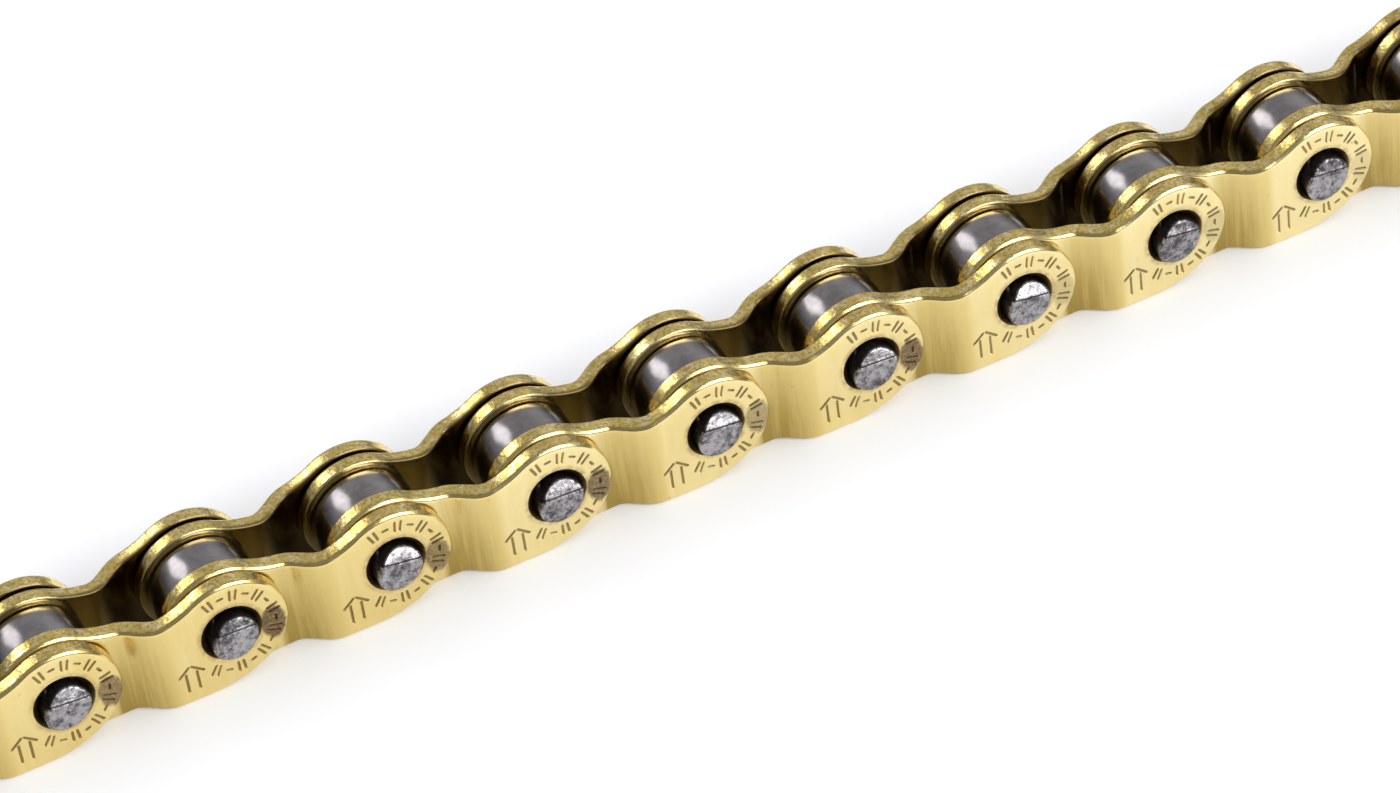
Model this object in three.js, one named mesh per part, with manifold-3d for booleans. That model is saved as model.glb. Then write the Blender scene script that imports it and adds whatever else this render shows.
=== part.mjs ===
// Half-link roller chain, 1/2 in pitch by 1/8 in, as one straight length of eleven links.
// Millimetres, +Z up. X runs along the chain, the pins lie along Y, and the plates stand on
// their straight lower edges at Z = 0. Every link is the same: its narrow end (low X) carries
// a bush and a roller, and its wide end (high X) carries a pin that the next link turns on.
import * as THREE from 'three';
import { mergeVertices } from 'three/addons/utils/BufferGeometryUtils.js';
import Module from 'manifold-3d';

// Chain
const LINK_COUNT = 11;
const PITCH = 12.7;

// Plate outline, measured from the line through the pins
const END_RADIUS = 4.4;
const LOWER_EDGE = 4.95;
const LOWER_CORNER = 2.15;
const WAIST_HEIGHT = 2.6;

// Plate section: two flats joined by a smooth joggle
const PLATE_THICKNESS = 1.3;
const INNER_WIDTH = 3.5;
const SIDE_GAP = 0.25;
const JOGGLE_START = 5.0;
const JOGGLE_END = 8.1;
const JOGGLE_STEPS = 6;

// Pins, bushes and rollers
const PIN_RADIUS = 1.83;
const PIN_STANDOUT = 0.75;
const PIN_CHAMFER = 0.3;
const COUNTERSINK_RADIUS = 2.25;
const COUNTERSINK_DEPTH = 0.4;
const BUSH_BORE_RADIUS = 1.9;
const BUSH_RADIUS = 2.5;
const ROLLER_BORE_RADIUS = 2.62;
const ROLLER_RADIUS = 3.875;
const ROLLER_WIDTH = 3.3;
const ROLLER_CHAMFER = 0.3;
const PRESS_GAP = 0.03;

// Facets
const ROUND_FACETS = 20;
const END_FACETS = 8;
const WAIST_FACETS = 6;
const CUTTER_REACH = 20;
const WELD_DISTANCE = 1e-5;

// Derived sizes
const NARROW_INNER = INNER_WIDTH / 2;
const NARROW_OUTER = NARROW_INNER + PLATE_THICKNESS;
const WIDE_INNER = NARROW_OUTER + SIDE_GAP;
const WIDE_OUTER = WIDE_INNER + PLATE_THICKNESS;
const PIN_HALF_LENGTH = WIDE_OUTER + PIN_STANDOUT;
const CHAIN_HALF_LENGTH = (LINK_COUNT * PITCH) / 2;

const plateMaterial = new THREE.MeshStandardMaterial({ color: 0xcfae55, roughness: 0.25, metalness: 1.0 });
const pinMaterial = new THREE.MeshStandardMaterial({ color: 0x77717a, roughness: 0.45, metalness: 1.0 });
const bushMaterial = new THREE.MeshStandardMaterial({ color: 0x8d8a8c, roughness: 0.35, metalness: 1.0 });
const rollerMaterial = new THREE.MeshStandardMaterial({ color: 0x6f6d75, roughness: 0.3, metalness: 1.0 });

const wasm = await Module();
wasm.setup();

// Joins the seams of a three.js geometry and drops the triangles that collapse on an axis.
function weld(geometry) {
  geometry.deleteAttribute('normal');
  geometry.deleteAttribute('uv');
  const welded = mergeVertices(geometry, WELD_DISTANCE);
  const source = welded.index.array;
  const kept = [];
  for (let i = 0; i < source.length; i += 3) {
    const [a, b, c] = source.slice(i, i + 3);
    if (a !== b && b !== c && c !== a) {
      kept.push(a, b, c);
    }
  }
  welded.setIndex(kept);
  return welded;
}

function toSolid(geometry) {
  const welded = weld(geometry);
  return new wasm.Manifold(new wasm.Mesh({
    numProp: 3,
    vertProperties: new Float32Array(welded.attributes.position.array),
    triVerts: new Uint32Array(welded.index.array),
  }));
}

function toGeometry(solid) {
  const mesh = solid.getMesh();
  const geometry = new THREE.BufferGeometry();
  geometry.setAttribute('position', new THREE.BufferAttribute(new Float32Array(mesh.vertProperties), 3));
  geometry.setIndex(Array.from(mesh.triVerts));
  return geometry;
}

// A body of revolution about Y from a list of [radius, y] corners that runs towards +Y.
function turned(corners) {
  const profile = corners.map(([radius, y]) => new THREE.Vector2(radius, y));
  return new THREE.LatheGeometry(profile, ROUND_FACETS);
}

// Side view of a plate, in X and Z, with the narrow-end pin at the origin: round ends, a waist
// in the upper edge, and a straight lower edge with long rounded corners. Arcs that meet share
// a point, which the weld joins.
function plateOutline() {
  const waistRadius = (PITCH ** 2 / 4 + WAIST_HEIGHT ** 2 - END_RADIUS ** 2) / (2 * (END_RADIUS - WAIST_HEIGHT));
  const waistCentre = WAIST_HEIGHT + waistRadius;
  const tangent = Math.atan2(waistCentre, PITCH / 2);
  const cornerReach = END_RADIUS + LOWER_CORNER;
  const points = [];
  const addArc = (x, z, radiusX, radiusZ, from, to, facets) => {
    for (let i = 0; i <= facets; i += 1) {
      const angle = from + ((to - from) * i) / facets;
      points.push(new THREE.Vector2(x + radiusX * Math.cos(angle), z + radiusZ * Math.sin(angle)));
    }
  };
  addArc(0, 0, END_RADIUS, END_RADIUS, Math.PI, tangent, END_FACETS);
  addArc(PITCH / 2, waistCentre, waistRadius, waistRadius, Math.PI + tangent, 2 * Math.PI - tangent, WAIST_FACETS);
  addArc(PITCH, 0, END_RADIUS, END_RADIUS, Math.PI - tangent, 0, END_FACETS);
  addArc(PITCH - LOWER_CORNER, 0, cornerReach, LOWER_EDGE, 0, -Math.PI / 2, END_FACETS);
  addArc(LOWER_CORNER, 0, cornerReach, LOWER_EDGE, -Math.PI / 2, -Math.PI, END_FACETS);
  return new THREE.Shape(points);
}

// Top view of a plate, in X and Y, on the +Y side: a strip of even thickness with the joggle.
function plateStrip() {
  const narrowMiddle = (NARROW_INNER + NARROW_OUTER) / 2;
  const rise = WIDE_INNER - NARROW_INNER;
  const length = JOGGLE_END - JOGGLE_START;
  const innerEdge = [];
  const outerEdge = [];
  const addStation = (x, y, slope) => {
    const across = new THREE.Vector2(-slope, 1).setLength(PLATE_THICKNESS / 2);
    innerEdge.push(new THREE.Vector2(x - across.x, y - across.y));
    outerEdge.push(new THREE.Vector2(x + across.x, y + across.y));
  };
  addStation(-PITCH, narrowMiddle, 0);
  for (let i = 0; i <= JOGGLE_STEPS; i += 1) {
    const t = i / JOGGLE_STEPS;
    const y = narrowMiddle + (rise * (1 - Math.cos(Math.PI * t))) / 2;
    const slope = (rise * Math.PI * Math.sin(Math.PI * t)) / (2 * length);
    addStation(JOGGLE_START + length * t, y, slope);
  }
  addStation(2 * PITCH, narrowMiddle + rise, 0);
  return new THREE.Shape([...innerEdge, ...outerEdge.reverse()]);
}

// The plate on the +Y side, with its bush hole and its countersunk pin hole.
function farPlate() {
  const height = 2 * CUTTER_REACH;
  const strip = new THREE.ExtrudeGeometry(plateStrip(), { depth: height, bevelEnabled: false });
  strip.translate(0, 0, -CUTTER_REACH);
  const outline = new THREE.ExtrudeGeometry(plateOutline(), { depth: height, bevelEnabled: false });
  outline.rotateX(Math.PI / 2);
  outline.translate(0, CUTTER_REACH, 0);
  const bushHole = turned([
    [0, 0],
    [BUSH_RADIUS + PRESS_GAP, 0],
    [BUSH_RADIUS + PRESS_GAP, CUTTER_REACH],
    [0, CUTTER_REACH],
  ]);
  const pinHole = turned([
    [0, 0],
    [PIN_RADIUS + PRESS_GAP, 0],
    [PIN_RADIUS + PRESS_GAP, WIDE_OUTER - COUNTERSINK_DEPTH],
    [COUNTERSINK_RADIUS, WIDE_OUTER],
    [COUNTERSINK_RADIUS, CUTTER_REACH],
    [0, CUTTER_REACH],
  ]);
  pinHole.translate(PITCH, 0, 0);
  const blank = toSolid(strip).intersect(toSolid(outline));
  return toGeometry(blank.subtract(toSolid(bushHole)).subtract(toSolid(pinHole)));
}

// The same plate reflected to the -Y side, with its triangles turned to face outward again.
function mirrored(geometry) {
  const copy = geometry.clone();
  copy.scale(1, -1, 1);
  const order = Array.from(copy.index.array);
  for (let i = 0; i < order.length; i += 3) {
    [order[i + 1], order[i + 2]] = [order[i + 2], order[i + 1]];
  }
  copy.setIndex(order);
  return copy;
}

function pinBody() {
  const chamferStart = PIN_HALF_LENGTH - PIN_CHAMFER;
  return weld(turned([
    [0, -PIN_HALF_LENGTH],
    [PIN_RADIUS - PIN_CHAMFER, -PIN_HALF_LENGTH],
    [PIN_RADIUS, -chamferStart],
    [PIN_RADIUS, chamferStart],
    [PIN_RADIUS - PIN_CHAMFER, PIN_HALF_LENGTH],
    [0, PIN_HALF_LENGTH],
  ]));
}

function bushBody() {
  return weld(turned([
    [BUSH_BORE_RADIUS, -NARROW_OUTER],
    [BUSH_RADIUS, -NARROW_OUTER],
    [BUSH_RADIUS, NARROW_OUTER],
    [BUSH_BORE_RADIUS, NARROW_OUTER],
    [BUSH_BORE_RADIUS, -NARROW_OUTER],
  ]));
}

function rollerBody() {
  const half = ROLLER_WIDTH / 2;
  return weld(turned([
    [ROLLER_BORE_RADIUS, -half],
    [ROLLER_RADIUS - ROLLER_CHAMFER, -half],
    [ROLLER_RADIUS, ROLLER_CHAMFER - half],
    [ROLLER_RADIUS, half - ROLLER_CHAMFER],
    [ROLLER_RADIUS - ROLLER_CHAMFER, half],
    [ROLLER_BORE_RADIUS, half],
    [ROLLER_BORE_RADIUS, -half],
  ]));
}

const plateFar = farPlate();
const plateNear = mirrored(plateFar);
const pin = pinBody();
const bush = bushBody();
const roller = rollerBody();

// One link at the origin of its own group. Its pin sits a pitch along, in the wide end.
function makeLink(number) {
  const link = new THREE.Group();
  const addPiece = (name, geometry, material, x) => {
    const piece = new THREE.Mesh(geometry, material.clone());
    piece.name = `${name}_${number}`;
    piece.position.x = x;
    link.add(piece);
  };
  addPiece('near_plate', plateNear, plateMaterial, 0);
  addPiece('far_plate', plateFar, plateMaterial, 0);
  addPiece('pin', pin, pinMaterial, PITCH);
  addPiece('bush', bush, bushMaterial, 0);
  addPiece('roller', roller, rollerMaterial, 0);
  return link;
}

const chain = new THREE.Group();
for (let i = 0; i < LINK_COUNT; i += 1) {
  const link = makeLink(String(i + 1).padStart(2, '0'));
  link.position.set(i * PITCH - CHAIN_HALF_LENGTH, 0, LOWER_EDGE);
  chain.add(link);
}

export default chain;
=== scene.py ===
import math
import random

import bmesh
import bpy
import numpy as np
from mathutils import Matrix, Vector, noise
from mathutils.geometry import delaunay_2d_cdt


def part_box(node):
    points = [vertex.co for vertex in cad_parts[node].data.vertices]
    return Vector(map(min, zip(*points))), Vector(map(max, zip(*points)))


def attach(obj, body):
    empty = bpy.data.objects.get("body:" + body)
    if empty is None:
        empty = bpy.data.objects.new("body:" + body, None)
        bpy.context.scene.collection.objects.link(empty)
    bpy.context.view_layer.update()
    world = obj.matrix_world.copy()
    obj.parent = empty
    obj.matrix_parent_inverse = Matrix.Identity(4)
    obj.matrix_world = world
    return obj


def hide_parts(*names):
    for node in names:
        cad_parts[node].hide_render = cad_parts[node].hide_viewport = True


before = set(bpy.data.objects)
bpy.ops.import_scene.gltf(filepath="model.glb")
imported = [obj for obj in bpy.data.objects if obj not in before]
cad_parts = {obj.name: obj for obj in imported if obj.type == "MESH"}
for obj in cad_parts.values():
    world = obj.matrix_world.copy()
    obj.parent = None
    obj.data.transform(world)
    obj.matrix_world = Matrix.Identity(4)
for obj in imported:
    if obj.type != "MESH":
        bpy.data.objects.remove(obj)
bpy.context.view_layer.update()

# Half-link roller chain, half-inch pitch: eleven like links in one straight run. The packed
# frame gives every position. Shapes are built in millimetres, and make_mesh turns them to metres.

MM = 0.001

# Link sizes, as in the CAD model
LINK_COUNT = 11
PITCH = 12.7
END_RADIUS = 4.4
LOWER_EDGE = 4.95
LOWER_CORNER = 2.15
WAIST_HEIGHT = 2.6
PLATE_THICKNESS = 1.3
HALF_THICKNESS = PLATE_THICKNESS / 2
NARROW_INNER = 1.75
WIDE_INNER = 3.3
JOGGLE_START = 5.0
JOGGLE_END = 8.1
PIN_RADIUS = 1.83
PIN_HALF_LENGTH = 5.35
COUNTERSINK_RADIUS = 2.25
COUNTERSINK_DEPTH = 0.4
PIN_HOLE_RADIUS = 1.86
BUSH_BORE_RADIUS = 1.9
BUSH_RADIUS = 2.5
BUSH_HOLE_RADIUS = 2.53
ROLLER_BORE_RADIUS = 2.62
ROLLER_RADIUS = 3.875
ROLLER_WIDTH = 3.3
ROLLER_EDGE = 0.26
BUSH_HALF_WIDTH = NARROW_INNER + PLATE_THICKNESS
BUSH_EDGE = 0.08
TUBE_SEGMENTS = 96
TUBE_EDGE_STEPS = 4
BORE_BEVEL_SHARE = 0.4

# Plate finish
OUTER_ROUND = 0.34
INNER_ROUND = 0.13
ROUND_STEPS = 4
BAND_STEPS = 4
RIM_SPACING = 0.16
RIM_ROUGHNESS = 0.022
RIM_GRAIN = 2.1
RIM_GRAIN_DEPTH = 2.4
RIM_SEED_STEP = 7.3
FACE_SPACING = 0.42
JOGGLE_SPACING = 0.2
JOGGLE_MARGIN = 0.5
FACE_CLEARANCE = 0.1
WAVE_HEIGHT = 0.012
WAVE_LENGTH = 3.2
WAVE_SEED_STEP = 3.7
BEND_ROUNDS = 25
PLATE_VARIANTS = 4
FAR_SEED_START = 10

# Painted shade along the inner edge of the far plates' rims: it starts at the depth below, is at
# its most a band's width further in, and has its own share of that at each x
EDGE_SHADE_TOP = -0.1
EDGE_SHADE_BAND = 0.3
EDGE_SHADE_MOST = 0.66
EDGE_SHADE_X = (1.8, 2.8, 6.0, 7.2, 8.2, 9.8, 11.4, 12.4)
EDGE_SHADE_SHARE = (0.0, 1.0, 1.0, 0.3, 1.0, 1.0, 0.8, 0.0)

# Marks pressed into the outer face round the pin: pairs of bars with a dash between, and an arrow
MARK_DEPTH = 0.09
MARK_WIDTH = 0.22
# Dirt and painted shade in the marks' grooves, and on their lips
MARK_DIRT_AND_SHADE = 0.62
MARK_LIP_DIRT_AND_SHADE = 0.2
MARK_FLOOR_SHARE = 0.45
MARK_FLOOR_INSET = 0.03
BAR_REACH = (2.93, 3.78)
BAR_SPREAD = 3.7
DASH_RADIUS = 3.38
DASH_SPREAD = 3.6
MARK_ANGLES = (112.0, -120.0)
MARK_COUNT = 15
ARROW_CENTRE = (-3.5, -2.7)
ARROW_STROKES = (
    ((-0.42, -1.1), (-0.42, 0.56)),
    ((0.42, -1.1), (0.42, 0.56)),
    ((-0.95, 0.42), (-0.1, 1.14)),
    ((0.95, 0.42), (0.1, 1.14)),
)

# Camera, in millimetres and degrees
VIEW_TARGET = (-5.47, 0.0, 4.15)
VIEW_DISTANCE = 379.1
VIEW_AZIMUTH = -20.54
VIEW_ELEVATION = 41.82
VIEW_ROLL = -8.66
SENSOR_WIDTH = 36.0
FOCAL_LENGTH = 134.13


# Meshes

def make_mesh(name, vertices, faces, crevice=None, sharp_angle=32.0):
    """A closed smooth-shaded mesh from millimetre coordinates, with outward faces."""
    mesh = bpy.data.meshes.new(name)
    mesh.from_pydata([tuple(c * MM for c in v) for v in vertices], [], faces)
    if crevice is not None:
        layer = mesh.attributes.new("crevice", "FLOAT", "POINT")
        layer.data.foreach_set("value", np.asarray(crevice, np.float32))
    work = bmesh.new()
    work.from_mesh(mesh)
    bmesh.ops.recalc_face_normals(work, faces=work.faces)
    work.to_mesh(mesh)
    work.free()
    mesh.shade_smooth()
    mesh.set_sharp_from_angle(angle=math.radians(sharp_angle))
    return mesh


def ring_faces(rings, closed=False):
    """Quads between successive rings of vertex indices."""
    faces = []
    pairs = list(zip(rings, rings[1:]))
    if closed:
        pairs.append((rings[-1], rings[0]))
    for low, high in pairs:
        count = len(low)
        for i in range(count):
            j = (i + 1) % count
            faces.append((low[i], low[j], high[j], high[i]))
    return faces


def inside(points, loops):
    """Even-odd test of points against closed loops, as a boolean array."""
    x, z = points[:, 0], points[:, 1]
    result = np.zeros(len(points), bool)
    for loop in loops:
        start = np.asarray(loop)
        end = np.roll(start, -1, axis=0)
        for (x0, z0), (x1, z1) in zip(start, end):
            if z0 == z1:
                continue
            crosses = (z0 > z) != (z1 > z)
            at = x0 + (z - z0) * (x1 - x0) / (z1 - z0)
            result ^= crosses & (x < at)
    return result


# Side plates

def arc(centre_x, centre_z, radius_x, radius_z, start, end):
    """Points along an arc, without its last one."""
    count = math.ceil(abs(end - start) * max(radius_x, radius_z) / RIM_SPACING)
    angles = [start + (end - start) * i / count for i in range(count)]
    return [(centre_x + radius_x * math.cos(a), centre_z + radius_z * math.sin(a)) for a in angles]


def plate_outline():
    """Side view from the narrow end over the top, in X and Z, and the inward normals."""
    spread = PITCH ** 2 / 4 + WAIST_HEIGHT ** 2 - END_RADIUS ** 2
    waist_radius = spread / (2 * (END_RADIUS - WAIST_HEIGHT))
    waist_centre = WAIST_HEIGHT + waist_radius
    tangent = math.atan2(waist_centre, PITCH / 2)
    reach = END_RADIUS + LOWER_CORNER
    edge_length = PITCH - 2 * LOWER_CORNER
    edge_count = math.ceil(edge_length / RIM_SPACING)
    waist_turn = (math.pi + tangent, 2 * math.pi - tangent)
    points = arc(0, 0, END_RADIUS, END_RADIUS, math.pi, tangent)
    points += arc(PITCH / 2, waist_centre, waist_radius, waist_radius, *waist_turn)
    points += arc(PITCH, 0, END_RADIUS, END_RADIUS, math.pi - tangent, 0)
    points += arc(PITCH - LOWER_CORNER, 0, reach, LOWER_EDGE, 0, -math.pi / 2)
    for i in range(edge_count):
        points.append((PITCH - LOWER_CORNER - edge_length * i / edge_count, -LOWER_EDGE))
    points += arc(LOWER_CORNER, 0, reach, LOWER_EDGE, -math.pi / 2, -math.pi)
    outline = np.array(points)
    along = np.roll(outline, -1, axis=0) - np.roll(outline, 1, axis=0)
    along /= np.linalg.norm(along, axis=1)[:, None]
    normals = np.stack([along[:, 1], -along[:, 0]], axis=1)
    return outline, normals


def rim_profile():
    """Inset and depth of each ring from the outer face to the inner one, and how rough it is."""
    rings = []
    turns = [math.pi / 2 * i / ROUND_STEPS for i in range(ROUND_STEPS + 1)]
    for turn in turns:
        fall = OUTER_ROUND * (1 - math.cos(turn))
        rings.append((OUTER_ROUND * (1 - math.sin(turn)), HALF_THICKNESS - fall, 0.0))
    top = HALF_THICKNESS - OUTER_ROUND
    bottom = INNER_ROUND - HALF_THICKNESS
    for i in range(1, BAND_STEPS):
        rings.append((0.0, top + (bottom - top) * i / BAND_STEPS, 1.0))
    for turn in turns:
        rise = INNER_ROUND * (1 - math.sin(turn))
        rings.append((INNER_ROUND * (1 - math.cos(turn)), rise - HALF_THICKNESS, 0.0))
    return rings


def bend(x, depth):
    """Distance from the chain's middle plane of a point at x, depth outward of mid-thickness."""
    length = JOGGLE_END - JOGGLE_START
    rise = WIDE_INNER - NARROW_INNER

    def share(t):
        return np.clip((t - JOGGLE_START) / length, 0, 1)

    def tilt(t):
        return np.arctan(rise * math.pi / (2 * length) * np.sin(math.pi * share(t)))

    t = np.array(x, float)
    for _ in range(BEND_ROUNDS):
        t = x + depth * np.sin(tilt(t))
    middle = NARROW_INNER + HALF_THICKNESS + rise * (1 - np.cos(math.pi * share(t))) / 2
    return middle + depth * np.cos(tilt(t))


def stroke(start, end, width, shorten=0.0):
    """Outline of a straight stroke with rounded ends."""
    ax, az = start
    bx, bz = end
    length = math.hypot(bx - ax, bz - az)
    ux, uz = (bx - ax) / length, (bz - az) / length
    half = width / 2
    points = []
    for (cx, cz), sign in (((bx, bz), 1), ((ax, az), -1)):
        cx -= sign * ux * shorten
        cz -= sign * uz * shorten
        for step in (-1, 0, 1):
            turn = math.pi / 2 * step
            along = sign * half * math.cos(turn)
            across = sign * half * math.sin(turn)
            points.append((cx + ux * along - uz * across, cz + uz * along + ux * across))
    return points


def mark_strokes():
    """Start and end of each pressed stroke, in the plate's own X and Z."""
    def around_pin(radius, degrees):
        angle = math.radians(degrees)
        return PITCH + radius * math.cos(angle), radius * math.sin(angle)

    strokes = []
    first, last = MARK_ANGLES
    for i in range(MARK_COUNT):
        angle = first + (last - first) * i / (MARK_COUNT - 1)
        if i % 2:
            start = around_pin(DASH_RADIUS, angle + DASH_SPREAD)
            strokes.append((start, around_pin(DASH_RADIUS, angle - DASH_SPREAD)))
        else:
            low, high = BAR_REACH
            for side in (-BAR_SPREAD, BAR_SPREAD):
                strokes.append((around_pin(low, angle + side), around_pin(high, angle + side)))
    shift = (PITCH + ARROW_CENTRE[0], ARROW_CENTRE[1])
    for ends in ARROW_STROKES:
        strokes.append(tuple((x + shift[0], z + shift[1]) for x, z in ends))
    return strokes


def circle(centre_x, radius, count):
    """Points round a circle at the height of the pins."""
    angles = [2 * math.pi * i / count for i in range(count)]
    return [(centre_x + radius * math.cos(a), radius * math.sin(a)) for a in angles]


def face_points(loops):
    """Points spread over the area inside the loops, closer together in the joggle."""
    columns = []
    x = -END_RADIUS
    while x < PITCH + END_RADIUS:
        columns.append(x)
        in_joggle = JOGGLE_START - JOGGLE_MARGIN < x < JOGGLE_END + JOGGLE_MARGIN
        x += JOGGLE_SPACING if in_joggle else FACE_SPACING
    points = []
    for i, x in enumerate(columns):
        z = -LOWER_EDGE + FACE_SPACING * (0.5 if i % 2 else 0.0)
        while z < END_RADIUS:
            points.append((x, z))
            z += FACE_SPACING
    points = np.array(points)
    points = points[inside(points, loops)]
    gaps = np.full(len(points), np.inf)
    for x, z in np.concatenate([np.asarray(loop) for loop in loops]):
        gaps = np.minimum(gaps, np.hypot(points[:, 0] - x, points[:, 1] - z))
    return points[gaps > FACE_CLEARANCE]


class PlateBuilder:
    """Collects a plate's vertices as x, depth, z before it is bent."""

    def __init__(self):
        self.vertices = []
        self.crevice = []
        self.faces = []

    def add_ring(self, points, depth, crevice=0.0):
        start = len(self.vertices)
        self.vertices += [(x, depth, z) for x, z in points]
        self.crevice += list(np.broadcast_to(crevice, len(points)))
        return list(range(start, len(self.vertices)))

    def add_cap(self, rings, depth):
        """Fills the area between rings with triangles."""
        loops = [[(self.vertices[i][0], self.vertices[i][2]) for i in ring] for ring in rings]
        extra = face_points(loops)
        flat = [point for loop in loops for point in loop]
        owners = [i for ring in rings for i in ring]
        owners += self.add_ring([tuple(p) for p in extra], depth)
        edges = []
        base = 0
        for loop in loops:
            count = len(loop)
            edges += [(base + i, base + (i + 1) % count) for i in range(count)]
            base += count
        coords = [Vector(p) for p in flat] + [Vector(p) for p in extra]
        corners, _, triangles, sources, _, _ = delaunay_2d_cdt(coords, edges, [], 0, 1e-6)
        places = np.array([(c.x, c.y) for c in corners])
        middles = np.array([places[list(t)].mean(axis=0) for t in triangles])
        for triangle, kept in zip(triangles, inside(middles, loops)):
            if kept:
                self.faces.append(tuple(owners[sources[i][0]] for i in triangle))


def hole_profile(radius, countersunk):
    """Radius, depth, and dirt with painted shade, of each ring of a hole from the outer face to the
    inner one.
    """
    if countersunk:
        floor = HALF_THICKNESS - COUNTERSINK_DEPTH
        yield COUNTERSINK_RADIUS + 0.06, HALF_THICKNESS, 0.1
        yield COUNTERSINK_RADIUS, HALF_THICKNESS - 0.05, 0.6
        yield radius + 0.06, floor + 0.05, 1.0
        yield radius, floor - 0.03, 1.0
    else:
        yield radius + 0.08, HALF_THICKNESS, 0.0
        yield radius, HALF_THICKNESS - 0.08, 0.4
    yield radius, 0.05 - HALF_THICKNESS, 0.6
    yield radius + 0.05, -HALF_THICKNESS, 0.0


def edge_painted_shade(x, depth):
    """Painted shade along the inner edge of a far plate's rim, beside the waist and past the
    joggle.
    """
    share = np.clip((EDGE_SHADE_TOP - depth) / EDGE_SHADE_BAND, 0, 1) * EDGE_SHADE_MOST
    return np.interp(x, EDGE_SHADE_X, EDGE_SHADE_SHARE) * share


def add_rim(build, side, seed):
    """Adds the rim with its fine grain, and returns its rings."""
    outline, normals = plate_outline()
    rings = []
    for inset, depth, rough in rim_profile():
        layer = depth * RIM_GRAIN_DEPTH + seed * RIM_SEED_STEP
        points = []
        for point, normal in zip(outline, normals):
            grain = noise.noise(Vector((point[0] * RIM_GRAIN, point[1] * RIM_GRAIN, layer)))
            reach = inset + rough * RIM_ROUGHNESS * (0.5 + 0.5 * grain)
            points.append(tuple(point + normal * reach))
        # The far plates' rims carry painted shade along their inner edge
        painted_shade = edge_painted_shade(outline[:, 0], depth) if side > 0 else 0.0
        rings.append(build.add_ring(points, depth, painted_shade))
    build.faces += ring_faces(rings)
    return rings


def add_hole(build, centre, radius, countersunk):
    """Adds the wall of a hole, and returns its rings."""
    rings = []
    count = 0
    for ring_radius, depth, dirt_and_shade in hole_profile(radius, countersunk):
        count = count or math.ceil(2 * math.pi * ring_radius / RIM_SPACING)
        rings.append(build.add_ring(circle(centre, ring_radius, count), depth, dirt_and_shade))
    build.faces += ring_faces(rings)
    return rings


def add_mark(build, start, end):
    """Adds the groove of one stroke, and returns its upper ring."""
    lip = stroke(start, end, MARK_WIDTH)
    base = stroke(start, end, MARK_WIDTH * MARK_FLOOR_SHARE, MARK_FLOOR_INSET)
    top = build.add_ring(lip, HALF_THICKNESS, MARK_LIP_DIRT_AND_SHADE)
    floor = build.add_ring(base, HALF_THICKNESS - MARK_DEPTH, MARK_DIRT_AND_SHADE)
    build.faces += ring_faces([top, floor])
    build.faces.append(tuple(floor))
    return top


def plate_mesh(name, side, seed):
    """A joggled side plate with its narrow-end hole at the origin, on the given side."""
    build = PlateBuilder()
    rim = add_rim(build, side, seed)
    bush_hole = add_hole(build, 0.0, BUSH_HOLE_RADIUS, False)
    pin_hole = add_hole(build, PITCH, PIN_HOLE_RADIUS, True)
    marks = [add_mark(build, start, end) for start, end in mark_strokes()]
    build.add_cap([rim[0], bush_hole[0], pin_hole[0], *marks], HALF_THICKNESS)
    build.add_cap([rim[-1], bush_hole[-1], pin_hole[-1]], -HALF_THICKNESS)
    x, depth, z = np.array(build.vertices).T
    y = bend(x, depth)
    layer = seed * WAVE_SEED_STEP
    wave = [noise.noise(Vector((a / WAVE_LENGTH, b / WAVE_LENGTH, layer))) for a, b in zip(x, z)]
    y += WAVE_HEIGHT * np.array(wave)
    return make_mesh(name, np.stack([x, side * y, z], axis=1), build.faces, build.crevice)


# Turned pieces

def turned_rings(profile):
    """Vertices round the Y axis for a list of (radius, y), and the rings' indices."""
    vertices = []
    rings = []
    for radius, y in profile:
        rings.append(list(range(len(vertices), len(vertices) + TUBE_SEGMENTS)))
        for i in range(TUBE_SEGMENTS):
            turn = 2 * math.pi * i / TUBE_SEGMENTS
            vertices.append((radius * math.cos(turn), y, radius * math.sin(turn)))
    return vertices, rings


def rounded(radius, y, edge):
    """Corner points from the flat end at y to the side at radius."""
    points = []
    for i in range(TUBE_EDGE_STEPS + 1):
        turn = math.pi / 2 * i / TUBE_EDGE_STEPS
        points.append((radius - edge * (1 - math.sin(turn)), y + edge * (1 - math.cos(turn))))
    return points


def tube_mesh(name, bore, radius, half_width, edge):
    """A tube along Y with rounded outer edges and a small bevel at the bore."""
    low = rounded(radius, -half_width, edge)
    high = [(r, -y) for r, y in reversed(low)]
    bevel = edge * BORE_BEVEL_SHARE
    profile = [(bore + bevel, -half_width), *low, *high, (bore + bevel, half_width)]
    profile += [(bore, half_width - bevel), (bore, bevel - half_width)]
    vertices, rings = turned_rings(profile)
    return make_mesh(name, vertices, ring_faces(rings, closed=True))


# Struck pin ends. Each has a swollen lobe below, a flat struck above with a notch beside it, and
# a groove between. Ranges are drawn from; shares run from the shank, or the middle, to the rim.
HEAD_RINGS = 22
HEAD_SEGMENTS = 96
SHANK_END = 4.1
BARE_SHANK_END = 3.1
# Dirt and painted shade on the bare shank and, as the second number of each neck share, on the neck
BARE_SHANK_DIRT_AND_SHADE = 0.2
NECK_SHARES = ((0.0, 1.0), (0.5, 1.0), (0.85, 0.4))
END_REACH = 1.73
RIM_SHARES = ((1.0, 0.12), (0.975, 0.05), (0.94, 0.012))
SWELL_ANGLES = (-135, -100)
SWELL_RANGE = (0.2, 0.3)
LINE_RANGE = (0.4, 0.62)
LEAN_RANGE = (-0.2, -0.05)
FACET_CENTRE = (0.22, -0.28)
FACET_RADIUS = 1.66
FACET_FALL = 1.7
NOTCH_ANGLE = math.radians(164)
NOTCH_DEPTH = 0.34
GROOVE_WIDTH = 0.055
GROOVE_DEPTH = 0.08


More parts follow.
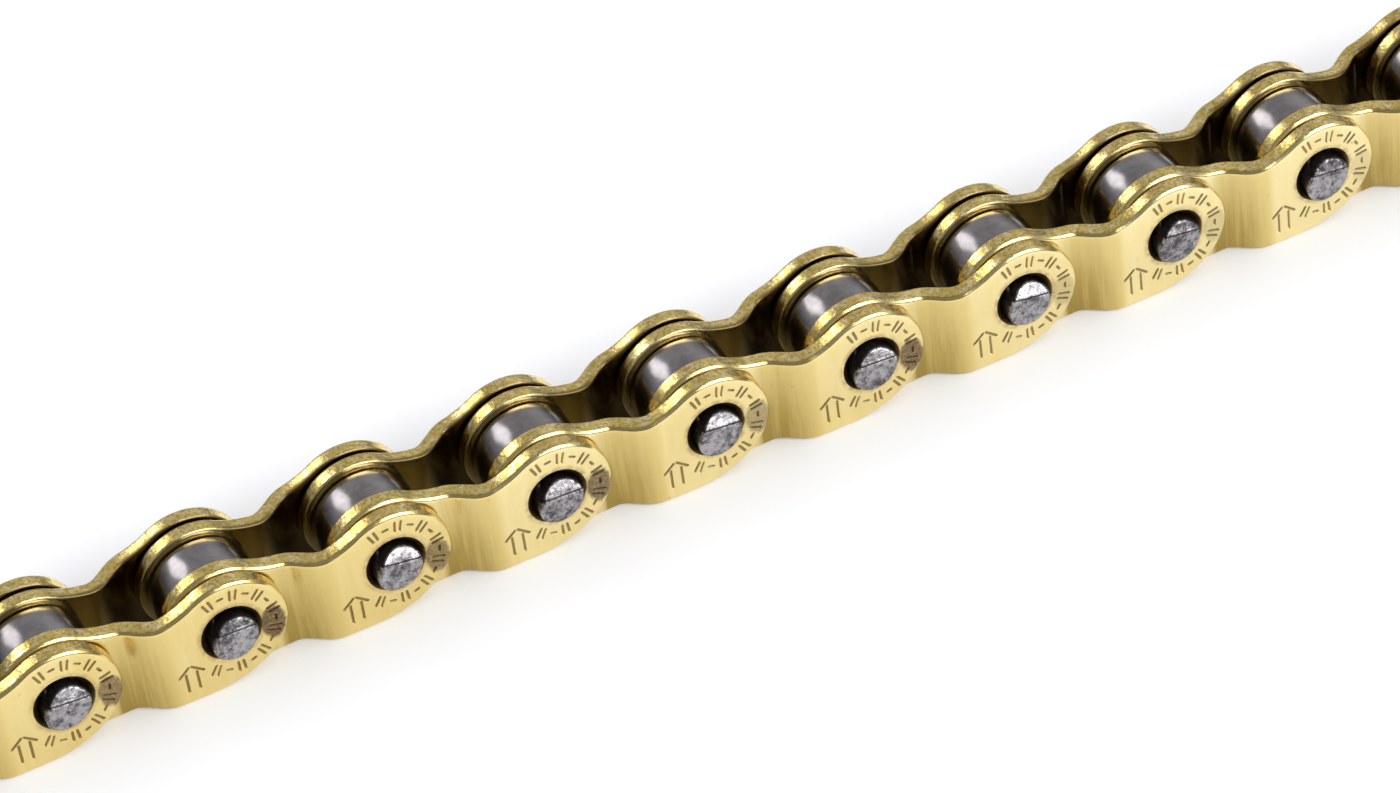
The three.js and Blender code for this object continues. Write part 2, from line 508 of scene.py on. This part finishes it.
def struck_end(seed, tilt):
    """Rings of (x, y, z, dirt and painted shade) over one end of a pin, from the bare shank to the
    middle.
    """
    draw = random.Random(seed)
    swell_angle = math.radians(draw.uniform(*SWELL_ANGLES))
    swell = draw.uniform(*SWELL_RANGE)
    line = draw.uniform(*LINE_RANGE)
    lean = draw.uniform(*LEAN_RANGE)
    fall = math.tan(math.radians(tilt))
    shift = Vector((seed * 1.7, seed * 0.9, seed * 2.3))

    def reach(turn):
        bulge = swell * max(0.0, math.cos(turn - swell_angle)) ** 1.5
        ragged = noise.noise(Vector((2 * math.cos(turn), 0, 2 * math.sin(turn))) + shift)
        notch = NOTCH_DEPTH * max(0.0, math.cos(turn - NOTCH_ANGLE)) ** 5
        return END_REACH + bulge - notch + 0.09 * max(0.0, math.cos(turn)) + 0.03 * ragged

    def surface(x, z):
        above = z - line - lean * x
        if abs(above) < 0.04:
            z -= above
            above = 0.0
        rough = noise.noise(Vector((x * 2.2, 0.0, z * 2.2)) + shift)
        depth = 0.04 + 0.03 * rough + 0.012 * (x * x + z * z)
        dirt_and_shade = 0.0
        if above > 0:
            depth = 0.06 + above * fall + 0.02 * rough
        outside = math.hypot(x - FACET_CENTRE[0], z - FACET_CENTRE[1]) - FACET_RADIUS
        if above >= 0 and outside > 0:
            # Past the flat's edge it falls away and is darkened: painted shade
            depth += FACET_FALL * outside
            dirt_and_shade = min(1.0, outside / 0.09)
        # The groove is darkened: painted shade
        groove = math.exp(-(above / GROOVE_WIDTH) ** 2)
        return x, PIN_HALF_LENGTH - depth - GROOVE_DEPTH * groove, z, max(dirt_and_shade, groove)

    rims = []
    for i in range(HEAD_SEGMENTS):
        turn = 2 * math.pi * i / HEAD_SEGMENTS
        radius = reach(turn)
        height = surface(radius * math.cos(turn), radius * math.sin(turn))[1] - RIM_SHARES[0][1]
        rims.append((turn, radius, height))
    shank = []
    for turn, _, _ in rims:
        x, z = PIN_RADIUS * math.cos(turn), PIN_RADIUS * math.sin(turn)
        shank.append((x, BARE_SHANK_END, z, BARE_SHANK_DIRT_AND_SHADE))
    rings = [shank]
    for share, dirt_and_shade in NECK_SHARES:
        ring = []
        for turn, radius, height in rims:
            wide = PIN_RADIUS + (radius - PIN_RADIUS) * share
            y = SHANK_END + (height - SHANK_END) * share
            # The neck's upper side is always fully dark: painted shade
            painted_shade = dirt_and_shade if math.sin(turn) < 0.2 else 1.0
            ring.append((wide * math.cos(turn), y, wide * math.sin(turn), painted_shade))
        rings.append(ring)
    shares = list(RIM_SHARES)
    shares += [(RIM_SHARES[-1][0] * (1 - i / HEAD_RINGS), 0.0) for i in range(1, HEAD_RINGS)]
    for share, drop in shares:
        ring = []
        for turn, radius, _ in rims:
            width = share * radius
            x, y, z, dirt_and_shade = surface(width * math.cos(turn), width * math.sin(turn))
            ring.append((x, y - drop, z, dirt_and_shade))
        rings.append(ring)
    rings.append([tuple(np.mean(rings[-1], axis=0))])
    return rings


def pin_mesh(name, seed, near_tilt, far_tilt):
    """A pin along Y with both ends struck to spread them."""
    points = []
    faces = []
    shanks = []
    for side, tilt in ((1, far_tilt), (-1, near_tilt)):
        rings = []
        for ring in struck_end(seed * 2 + (side < 0), tilt):
            rings.append(list(range(len(points), len(points) + len(ring))))
            points += [(x, side * y, z, dirt_and_shade) for x, y, z, dirt_and_shade in ring]
        tip = rings.pop()[0]
        faces += ring_faces(rings)
        last = rings[-1]
        faces += [(last[i], last[(i + 1) % HEAD_SEGMENTS], tip) for i in range(HEAD_SEGMENTS)]
        shanks.append(rings[0])
    faces += ring_faces(shanks)
    x, y, z, dirt_and_shade = np.array(points).T
    return make_mesh(name, np.stack([x, y, z], axis=1), faces, dirt_and_shade, sharp_angle=28.0)


# Materials

# Sockets of the Mix node that share a name with others: two colours and their result, and two
# numbers
COLOR_A, COLOR_B, COLOR_RESULT = 6, 7, 2
FLOAT_A, FLOAT_B = 2, 3
# How far a step of one in an object's seed moves its noise along X and Y, in millimetres
SEED_STEPS = (17.3, 5.9)


class Nodes:
    """Builds the node tree of a material or a world."""

    def __init__(self, tree, material=None):
        self.tree = tree
        self.material = material
        tree.nodes.clear()

    @classmethod
    def of_material(cls, name):
        material = bpy.data.materials.new(name)
        material.use_nodes = True
        return cls(material.node_tree, material)

    def add(self, kind, inputs=None, **settings):
        node = self.tree.nodes.new("ShaderNode" + kind)
        for key, value in settings.items():
            setattr(node, key, value)
        for key, value in (inputs or {}).items():
            self.put(node.inputs[key], value)
        return node

    def put(self, socket, value):
        if isinstance(value, bpy.types.NodeSocket):
            self.tree.links.new(value, socket)
        else:
            socket.default_value = value

    def math(self, operation, *values, clamp=False):
        node = self.add("Math", operation=operation, use_clamp=clamp)
        for socket, value in zip(node.inputs, values):
            self.put(socket, value)
        return node.outputs[0]

    def vector(self, operation, *values):
        node = self.add("VectorMath", operation=operation)
        for socket, value in zip(node.inputs, values):
            self.put(socket, value)
        return node.outputs[0]

    def ramp(self, value, low, high, to_low=0.0, to_high=1.0):
        """Smooth step of value from low to high."""
        inputs = {"Value": value, "From Min": low, "From Max": high}
        inputs.update({"To Min": to_low, "To Max": to_high})
        return self.add("MapRange", inputs, interpolation_type="SMOOTHSTEP").outputs[0]

    def noise(self, vector, scale, detail=3.0, roughness=0.5):
        inputs = {"Vector": vector, "Scale": scale, "Detail": detail, "Roughness": roughness}
        return self.add("TexNoise", inputs).outputs["Fac"]

    def mix(self, share, first, second):
        node = self.add("Mix", data_type="RGBA")
        self.put(node.inputs["Factor"], share)
        self.put(node.inputs[COLOR_A], first)
        self.put(node.inputs[COLOR_B], second)
        return node.outputs[COLOR_RESULT]

    def own(self, name):
        """A number stored on the object itself."""
        return self.add("Attribute", attribute_type="OBJECT", attribute_name=name).outputs["Fac"]

    def spot(self):
        """Texture coordinates, the place on the object in millimetres, and it moved by its seed."""
        coords = self.add("TexCoord")
        size = self.vector("SCALE", coords.outputs["Object"])
        size.node.inputs["Scale"].default_value = 1 / MM
        seed = self.own("wear_seed")
        across, along = (self.math("MULTIPLY", seed, step) for step in SEED_STEPS)
        away = self.add("CombineXYZ", {"X": across, "Y": along})
        return coords, size, self.vector("ADD", size, away.outputs[0])

    def finish(self, color, roughness, height, distance, metallic=1.0, specular=0.5):
        bump = self.add("Bump", {"Height": height, "Distance": distance * MM, "Strength": 1.0})
        shader = self.add("BsdfPrincipled", {
            "Base Color": color,
            "Metallic": metallic,
            "Roughness": roughness,
            "Specular IOR Level": specular,
            "Normal": bump.outputs[0],
        })
        output = self.add("OutputMaterial", {"Surface": shader.outputs[0]})
        output.is_active_output = True
        return self.material


GOLD_LIGHT = (0.935, 0.79, 0.405, 1.0)
GOLD_DEEP = (0.78, 0.605, 0.225, 1.0)
GOLD_RIM = (0.79, 0.60, 0.19, 1.0)
GOLD_EDGE = (0.55, 0.40, 0.11, 1.0)
GOLD_GLINT = (0.95, 0.78, 0.42, 1.0)
STAIN = (0.30, 0.15, 0.06, 1.0)
TARNISH = (0.10, 0.055, 0.038, 1.0)
# Dirt and painted shade: countersinks, hole walls, mark grooves and the far rims' inner edge
DIRT_AND_SHADE = (0.07, 0.038, 0.016, 1.0)
# Oil and painted shade in the steel's crevices
OIL_AND_SHADE = (0.018, 0.012, 0.01, 1.0)
# Colour of the painted shade and reflection over the joggle
FOLD_SHADE = (0.43, 0.31, 0.085, 1.0)
# Colour of the painted shade on the inner faces
INNER_PAINTED_SHADE = (0.17, 0.115, 0.05, 1.0)
# Light and dark specks on the pins: the steel's grain with painted glints
PIN_COLORS_AND_GLINTS = ((0.42, 0.405, 0.42, 1.0), (0.085, 0.078, 0.085, 1.0))
BUSH_COLORS = ((0.45, 0.43, 0.42, 1.0), (0.30, 0.28, 0.27, 1.0))
ROLLER_COLORS = ((0.335, 0.312, 0.316, 1.0), (0.265, 0.245, 0.249, 1.0))
FLOOR_COLORS = ((0.845, 0.85, 0.866, 1.0), (0.83, 0.835, 0.851, 1.0))


def gold_material():
    """Bright gold-coloured plating with cloudy tone, drawn streaks, specks, stains, wear, painted
    light, shade and glints.
    """
    n = Nodes.of_material("gold_plating")
    coords, place, moved = n.spot()
    parts = n.add("SeparateXYZ", {0: place})
    normal = n.add("SeparateXYZ", {0: coords.outputs["Normal"]})
    upright = n.math("ABSOLUTE", normal.outputs["Y"])
    rim = n.ramp(upright, 0.62, 0.3)

    cloud = n.noise(moved, 0.16, 2.0)
    drawn = n.noise(n.vector("MULTIPLY", moved, (1.5, 1.5, 0.16)), 1.0, 4.0, 0.6)
    mottle = n.noise(moved, 1.6, 4.0, 0.62)
    fine = n.noise(moved, 7.0, 3.0, 0.6)

    # Plating, lighter or deeper from plate to plate, with painted light on the near plates; deeper
    # in the joggle as painted shade; worn at the rim, with painted glints
    tone = n.math("ADD", n.math("MULTIPLY", cloud, 0.5), n.math("MULTIPLY", drawn, 0.5))
    tone = n.math("MULTIPLY", n.math("SUBTRACT", tone, 0.5), 1.6)
    # The plating number on the near plates carries painted light, lower toward the first links
    tone = n.math("ADD", n.own("plating"), tone, clamp=True)
    along = parts.outputs["X"]
    # Painted shade: the plating is made deeper across the joggle
    joggle = n.math("MULTIPLY", n.ramp(along, 4.2, 5.0, 0.0, 0.8), n.ramp(along, 8.7, 7.8))
    tone = n.math("MULTIPLY", tone, n.math("SUBTRACT", 1.0, joggle))
    color = n.mix(tone, GOLD_DEEP, GOLD_LIGHT)
    grit = n.noise(moved, 3.4, 3.0, 0.7)
    # The rim's mottle: painted glints among the rim's own colour, and darker nicks
    edge = n.mix(n.ramp(mottle, 0.36, 0.56), GOLD_GLINT, GOLD_RIM)
    edge = n.mix(n.ramp(grit, 0.47, 0.62, 0.0, 0.9), edge, GOLD_EDGE)
    color = n.mix(rim, color, edge)

    # The joggle's painted shade and reflection on the outer face, darker low down and in the corner
    # by the previous link
    outward = n.math("MULTIPLY", normal.outputs["Y"], n.math("SIGN", parts.outputs["Y"]))
    streaks = n.noise(n.vector("MULTIPLY", moved, (2.6, 1.0, 0.12)), 1.0, 3.0, 0.65)
    fold_shade = n.math("MULTIPLY", n.ramp(along, 3.6, 4.5), n.ramp(along, 8.7, 5.8))
    fold_shade = n.math("MULTIPLY", fold_shade, n.ramp(parts.outputs["Z"], 3.6, -3.4, 0.14, 0.8))
    corner_shade = n.ramp(along, 5.4, 4.6, 0.0, 0.5)
    corner_shade = n.math("MULTIPLY", corner_shade, n.ramp(parts.outputs["Z"], 1.0, -3.0))
    fold_shade = n.math("ADD", fold_shade, n.math("MULTIPLY", corner_shade, n.ramp(along, 3.6, 4.5)))
    fold_shade = n.math("MULTIPLY", fold_shade, n.ramp(outward, 0.3, 0.6))
    fold_shade = n.math("MULTIPLY", fold_shade, n.ramp(streaks, 0.3, 0.7, 1.25, 0.75), clamp=True)
    color = n.mix(fold_shade, color, FOLD_SHADE)

    # Painted shade on the wide end's inner face
    inner_shade = n.math("MULTIPLY", n.ramp(outward, -0.3, -0.6), n.ramp(along, 5.4, 6.6, 0.0, 1.0))
    inner_shade = n.math("MULTIPLY", inner_shade, n.own("inner_shade"))
    color = n.mix(inner_shade, color, INNER_PAINTED_SHADE)

    # Specks, a brown halo round the pin, the plate's own tarnished spot, and dirt with painted
    # shade in crevices
    specks = n.ramp(n.noise(moved, 2.3, 2.0, 0.5), 0.70, 0.78)
    color = n.mix(n.math("MULTIPLY", specks, 0.35), color, STAIN)

    from_pin = n.vector("SUBTRACT", place, (PITCH, 0.0, 0.0))
    flat = n.vector("MULTIPLY", from_pin, (1.0, 0.0, 1.0))
    radius = n.add("VectorMath", {0: flat}, operation="LENGTH").outputs["Value"]
    halo = n.ramp(radius, COUNTERSINK_RADIUS + 0.55, COUNTERSINK_RADIUS, 0.0, 0.75)
    halo = n.math("MULTIPLY", halo, n.ramp(mottle, 0.35, 0.65, 0.15, 1.0))
    color = n.mix(halo, color, STAIN)

    away = n.add("CombineXYZ", {"X": n.own("stain_x"), "Z": n.own("stain_z")})
    oval = n.vector("MULTIPLY", n.vector("SUBTRACT", flat, away.outputs[0]), (1.0, 1.0, 0.64))
    reach = n.add("VectorMath", {0: oval}, operation="LENGTH").outputs["Value"]
    reach = n.math("ADD", reach, n.math("MULTIPLY", n.math("SUBTRACT", mottle, 0.5), 0.5))
    tarnish = n.math("MULTIPLY", n.ramp(reach, 1.1, 0.8), n.own("stain_strength"))
    tarnish = n.math("MULTIPLY", tarnish, n.ramp(fine, 0.3, 0.6, 0.75, 1.0))
    color = n.mix(tarnish, color, TARNISH)

    # Dirt and painted shade: darker in the countersinks, hole walls, mark grooves and along the far
    # rims' inner edge
    crevice = n.add("Attribute", attribute_name="crevice").outputs["Fac"]
    dirt_and_shade = n.math("MULTIPLY", n.ramp(crevice, 0.15, 0.85), 0.92)
    color = n.mix(dirt_and_shade, color, DIRT_AND_SHADE)

    rough = n.math("ADD", 0.13, n.math("MULTIPLY", drawn, 0.13))
    rough = n.math("ADD", rough, n.math("MULTIPLY", tarnish, 0.2))
    rough = n.math("ADD", rough, n.math("MULTIPLY", dirt_and_shade, 0.3), clamp=True)

    dents = n.math("ADD", 0.12, n.math("MULTIPLY", rim, 0.6))
    nicks = n.math("ADD", 0.02, n.math("MULTIPLY", rim, 0.42))
    height = n.math("MULTIPLY", drawn, 0.30)
    height = n.math("ADD", height, n.math("MULTIPLY", mottle, dents))
    height = n.math("ADD", height, n.math("MULTIPLY", grit, nicks))
    return n.finish(color, rough, height, 0.045)


def steel_material(name, light, dark, roughness, grain, height_mm, lathe=0.0):
    """Bare steel with cloudy tone and a fine grain that also paints glints, and turning lines where
    lathe is above 0.
    """
    n = Nodes.of_material(name)
    coords, _, moved = n.spot()
    cloud = n.noise(moved, 0.35, 3.0)
    pits_and_glints = n.noise(moved, grain, 4.0, 0.65)
    lines = n.noise(n.vector("MULTIPLY", moved, (0.25, 9.0, 0.25)), 1.0, 2.0)
    swirl = n.noise(moved, grain * 0.42, 1.0, 0.5)
    # Light and dark specks from pits: partly the steel's grain, partly painted glints
    tone = n.math("ADD", n.math("MULTIPLY", cloud, 0.34), n.math("MULTIPLY", pits_and_glints, 0.33))
    tone = n.math("ADD", tone, n.math("MULTIPLY", swirl, 0.33))
    color = n.mix(n.ramp(tone, 0.40, 0.60), dark, light)
    # Oil and painted shade where the crevice attribute is set: the pins' necks, groove and the
    # flat's fallen edge
    crevice = n.add("Attribute", attribute_name="crevice").outputs["Fac"]
    dirt_and_shade = n.math("MULTIPLY", n.ramp(crevice, 0.1, 0.8), 0.94)
    color = n.mix(dirt_and_shade, color, OIL_AND_SHADE)
    rough = n.math("ADD", roughness - 0.05, n.math("MULTIPLY", pits_and_glints, 0.12))
    rough = n.math("ADD", rough, n.math("MULTIPLY", dirt_and_shade, 0.15))
    slope = n.math("ABSOLUTE", n.add("SeparateXYZ", {0: coords.outputs["Normal"]}).outputs["Z"])
    pits_and_glints = n.math("MULTIPLY", pits_and_glints, n.ramp(slope, 0.3, 0.5, 1.0, 0.3))
    lines = n.math("MULTIPLY", lines, lathe)
    height = n.math("ADD", n.math("MULTIPLY", pits_and_glints, 1.0 - lathe), lines)
    return n.finish(color, rough, height, height_mm)


def floor_material():
    """Matt white sheet, almost even."""
    n = Nodes.of_material("floor_white")
    coords = n.add("TexCoord")
    cloud = n.noise(coords.outputs["Object"], 6.0, 2.0)
    color = n.mix(cloud, *FLOOR_COLORS)
    rough = n.math("ADD", 0.6, n.math("MULTIPLY", cloud, 0.1))
    return n.finish(color, rough, cloud, 0.001, metallic=0.0, specular=0.0)


# Assembly

GOLD = gold_material()
PIN_STEEL = steel_material(
    "pin_steel", *PIN_COLORS_AND_GLINTS, roughness=0.26, grain=5.0, height_mm=0.05)
BUSH_STEEL = steel_material(
    "bush_steel", *BUSH_COLORS, roughness=0.32, grain=3.0, height_mm=0.01, lathe=0.5)
ROLLER_STEEL = steel_material(
    "roller_steel", *ROLLER_COLORS, roughness=0.17, grain=2.4, height_mm=0.003, lathe=0.4)

SEEDS = range(1, PLATE_VARIANTS + 1)
NEAR_PLATES = [plate_mesh(f"near_plate_form_{i}", -1, i) for i in SEEDS]
FAR_PLATES = [plate_mesh(f"far_plate_form_{i}", 1, i + FAR_SEED_START) for i in SEEDS]
ROLLER = tube_mesh("roller_form", ROLLER_BORE_RADIUS, ROLLER_RADIUS, ROLLER_WIDTH / 2, ROLLER_EDGE)
BUSH = tube_mesh("bush_form", BUSH_BORE_RADIUS, BUSH_RADIUS, BUSH_HALF_WIDTH, BUSH_EDGE)

# Strength of the brown spot beside each pin on the near side, from the first link
NEAR_STAINS = (0.8, 0.92, 0.78, 0.88, 0.6, 0.9, 0.32, 0.28, 0.2, 0.15, 0.15)
# How light each near plate's plating is, with painted light, lower toward the first links, and
# every other piece's
NEAR_PLATING_AND_LIGHT = (0.3, 0.25, 0.3, 0.62, 0.6, 0.55, 0.72, 0.85, 0.95, 0.9, 0.85)
FAR_PLATING = 0.55
# How much painted shade darkens the inward faces, near and far
INNER_SHADE = {"near_plate": 0.3, "far_plate": 0.9}
# Angle in degrees of the flat struck on each pin's near end, and its range on the far ends
NEAR_TILTS = (30, 29, 37, 33, 41, 30, 41, 31, 25, 38, 30)
FAR_TILT_RANGE = (28, 44)
NO_STAIN = (0.0, 0.0, 0.0)
DRAW_SEED = 7


def add_piece(kind, name, mesh, material, place, body, node, wear_seed, stain, plating):
    """One visible piece, in place of its CAD node and moving with its body."""
    if not mesh.materials:
        mesh.materials.append(material)
    piece = bpy.data.objects.new(name, mesh)
    bpy.context.scene.collection.objects.link(piece)
    piece.matrix_world = Matrix.Translation(place)
    piece["wear_seed"] = float(wear_seed)
    piece["stain_x"], piece["stain_z"], piece["stain_strength"] = stain
    piece["plating"] = plating
    piece["inner_shade"] = INNER_SHADE.get(kind, 0.0)
    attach(piece, body)
    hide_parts(node)


def node_middle(node):
    low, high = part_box(node)
    return (low + high) / 2


def build_chain():
    """Every piece of every link, each varied by draws in a fixed order."""
    draw = random.Random(DRAW_SEED)
    for index in range(LINK_COUNT):
        number = f"{index + 1:02d}"
        link = f"link_{number}"
        narrow = node_middle(f"roller_{number}")
        wide = node_middle(f"pin_{number}")
        variant = draw.randrange(PLATE_VARIANTS)
        near_stain = (draw.uniform(3.1, 3.4), draw.uniform(-0.9, -0.3), NEAR_STAINS[index])
        far_stain = (draw.uniform(-3.4, 3.4), draw.uniform(-2.0, 2.0), draw.uniform(0.0, 0.5))
        far_tilt = draw.uniform(*FAR_TILT_RANGE)
        near_plate = NEAR_PLATES[variant]
        far_plate = FAR_PLATES[(variant + 1) % PLATE_VARIANTS]
        pin = pin_mesh(f"pin_form_{number}", index + 1, NEAR_TILTS[index], far_tilt)
        rows = (
            ("near_plate", near_plate, GOLD, narrow, link, "gold_plating", near_stain),
            ("far_plate", far_plate, GOLD, narrow, link, "gold_plating", far_stain),
            ("bush", BUSH, BUSH_STEEL, narrow, link, "bush_steel", NO_STAIN),
            ("roller", ROLLER, ROLLER_STEEL, narrow, f"roller_{number}", "roller_steel", NO_STAIN),
            ("pin", pin, PIN_STEEL, wide, link, "pin_steel", NO_STAIN),
        )
        for kind, mesh, material, place, body, slot, stain in rows:
            node = f"{kind}_{number}"
            seed = draw.uniform(0, 10)
            # The near plates' plating number carries painted light
            plating = NEAR_PLATING_AND_LIGHT[index] if kind == "near_plate" else FAR_PLATING
            name = f"{node}_fine"
            add_piece(kind, name, mesh, material, place, body, node, seed, stain, plating)


# Stage, in metres

FLOOR_HALF = 3.0
FLOOR_DROP = 0.00002
RING_RADIANCE = 1.78
FILL_RADIANCE = 0.595
BACKDROP_RADIANCE = 1.05
WORLD_COLOR = (0.98, 0.985, 1.0, 1.0)
# Name, direction from the object, distance, width, height and radiance
SOFTBOXES = (
    ("softbox_front", (0.42, -0.74, 0.58), 1.2, 0.95, 0.6, 4.5),
    ("softbox_back", (-0.447, 0.698, 0.56), 1.5, 0.46, 0.6, 2.4),
)


def build_floor():
    """A wide sheet just under the object."""
    mesh = bpy.data.meshes.new("floor_sheet")
    signs = ((-1, -1), (1, -1), (1, 1), (-1, 1))
    corners = [(x * FLOOR_HALF, y * FLOOR_HALF, -FLOOR_DROP) for x, y in signs]
    mesh.from_pydata(corners, [], [(0, 1, 2, 3)])
    mesh.materials.append(floor_material())
    floor = bpy.data.objects.new("floor", mesh)
    bpy.context.scene.collection.objects.link(floor)


def build_world():
    """A low ring of light for matt surfaces, a dim room in reflections, and a white backdrop."""
    world = bpy.data.worlds.new("studio")
    world.use_nodes = True
    n = Nodes(world.node_tree)
    way = n.add("SeparateXYZ", {0: n.add("TexCoord").outputs["Generated"]})
    x, y, z = (way.outputs[axis] for axis in "XYZ")
    ring = n.math("MULTIPLY", n.ramp(z, 0.05, 0.2), n.ramp(z, 0.75, 0.5))
    fill = n.math("ADD", FILL_RADIANCE, n.math("MULTIPLY", ring, RING_RADIANCE))
    room = n.math("ADD", n.ramp(y, -0.2, 0.5, 0.28, 0.54), n.ramp(x, 0.2, 0.8, 0.0, 0.22))
    room = n.math("MULTIPLY", room, n.ramp(z, 0.0, 0.45, 0.12, 1.0))
    room = n.math("MULTIPLY", room, n.ramp(z, 0.6, 0.85, 1.0, 0.85))
    path = n.add("LightPath")
    strength = room
    for ray, other in (("Is Diffuse Ray", fill), ("Is Camera Ray", BACKDROP_RADIANCE)):
        inputs = {"Factor": path.outputs[ray], FLOAT_A: strength, FLOAT_B: other}
        strength = n.add("Mix", inputs).outputs[0]
    light = n.add("Background", {"Color": WORLD_COLOR, "Strength": strength})
    n.add("OutputWorld", {"Surface": light.outputs[0]})
    bpy.context.scene.world = world


def add_softbox(name, direction, distance, size_x, size_y, radiance):
    """A rectangular light aimed at the object, with its brightness given as radiance."""
    light = bpy.data.lights.new(name, "AREA")
    light.shape = "RECTANGLE"
    light.size = size_x
    light.size_y = size_y
    light.energy = radiance * math.pi * size_x * size_y
    lamp = bpy.data.objects.new(name, light)
    way = Vector(direction).normalized()
    lamp.location = way * distance
    lamp.rotation_euler = way.to_track_quat("Z", "Y").to_euler()
    bpy.context.scene.collection.objects.link(lamp)


def build_camera():
    """A camera where the photo's stood: direction, distance and roll round VIEW_TARGET."""
    data = bpy.data.cameras.new("camera")
    data.sensor_width = SENSOR_WIDTH
    data.lens = FOCAL_LENGTH
    data.clip_start = 0.01
    camera = bpy.data.objects.new("camera", data)
    bpy.context.scene.collection.objects.link(camera)
    azimuth = math.radians(VIEW_AZIMUTH)
    elevation = math.radians(VIEW_ELEVATION)
    way = Vector((
        math.sin(azimuth) * math.cos(elevation),
        -math.cos(azimuth) * math.cos(elevation),
        math.sin(elevation),
    ))
    roll = Matrix.Rotation(math.radians(VIEW_ROLL), 3, "Z")
    turn = way.to_track_quat("Z", "Y").to_matrix() @ roll
    place = (Vector(VIEW_TARGET) + way * VIEW_DISTANCE) * MM
    camera.matrix_world = Matrix.Translation(place) @ turn.to_4x4()
    bpy.context.scene.camera = camera


build_camera()
build_chain()
build_floor()
build_world()
for softbox in SOFTBOXES:
    add_softbox(*softbox)
bpy.context.scene.view_settings.view_transform = "Standard"
